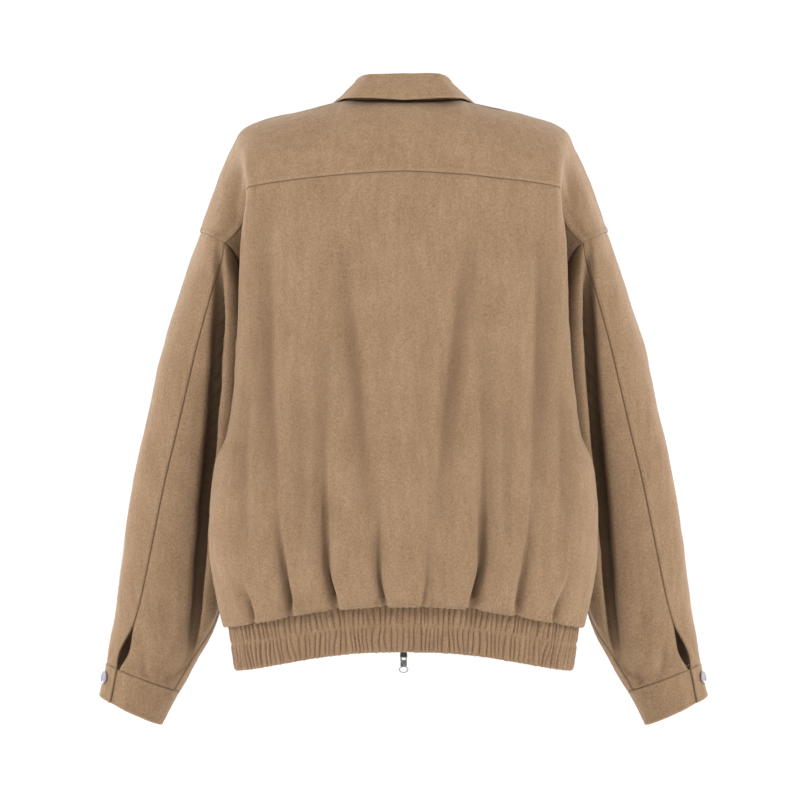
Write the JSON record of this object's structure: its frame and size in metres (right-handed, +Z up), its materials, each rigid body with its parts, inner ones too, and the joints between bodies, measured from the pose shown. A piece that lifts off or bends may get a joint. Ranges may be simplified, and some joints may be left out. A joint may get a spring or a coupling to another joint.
{
  "type": "suede jacket",
  "caption": "Boxy zip-up blouson in tan faux suede with a fold-down collar, dropped shoulders, snap cuffs and an elastic ribbed waistband, filled out as when it is worn.",
  "frame": {"origin": "middle of the neck opening, level with the neck ends of the shoulder seams, where the wearer's neck and shoulders hold the jacket up", "axes": "+Z up, -Y to the front of the jacket where the zip is, +X to the wearer's left"},
  "size_m": [0.7364, 0.2829, 0.7736],
  "materials": {
    "suede": "tan faux suede, short soft nap, no gloss",
    "ribbed_suede": "the same faux suede gathered over elastic into narrow uneven ribs",
    "zip_tape": "brown woven polyester tape",
    "zip_teeth": "dark gunmetal teeth",
    "zip_metal": "nickel-plated, softly worn",
    "snap_metal": "grey enamelled cap, satin"
  },
  "bodies": {
    "jacket": {"back_panel": "suede", "back_yoke": "suede", "front_left": "suede", "front_right": "suede", "sleeve_top_left": "suede", "sleeve_top_right": "suede", "sleeve_under_left": "suede", "sleeve_under_right": "suede", "cuff_left": "suede", "cuff_right": "suede", "waistband_back": "ribbed_suede", "waistband_front_left": "ribbed_suede", "waistband_front_right": "ribbed_suede", "collar": "suede", "zip_tape_left": "zip_tape", "zip_tape_right": "zip_tape", "zip_chain": "zip_teeth", "slider_lower": "zip_metal", "slider_upper": "zip_metal", "snap_left": "snap_metal", "snap_right": "snap_metal"},
    "lower_pull": {"pull_lower": "zip_metal"},
    "upper_pull": {"pull_upper": "zip_metal"}
  },
  "joints": [
    {"name": "lower_pull_swing", "type": "hinge", "parent": "jacket", "child": "lower_pull", "pos_m": [0, -0.11014, -0.66291], "axis": [-1, 0, 0], "range_deg": [-8, 165]},
    {"name": "upper_pull_swing", "type": "hinge", "parent": "jacket", "child": "upper_pull", "pos_m": [0, -0.08377, -0.06456], "axis": [-1, 0, 0], "range_deg": [0, 150]}
  ]
}
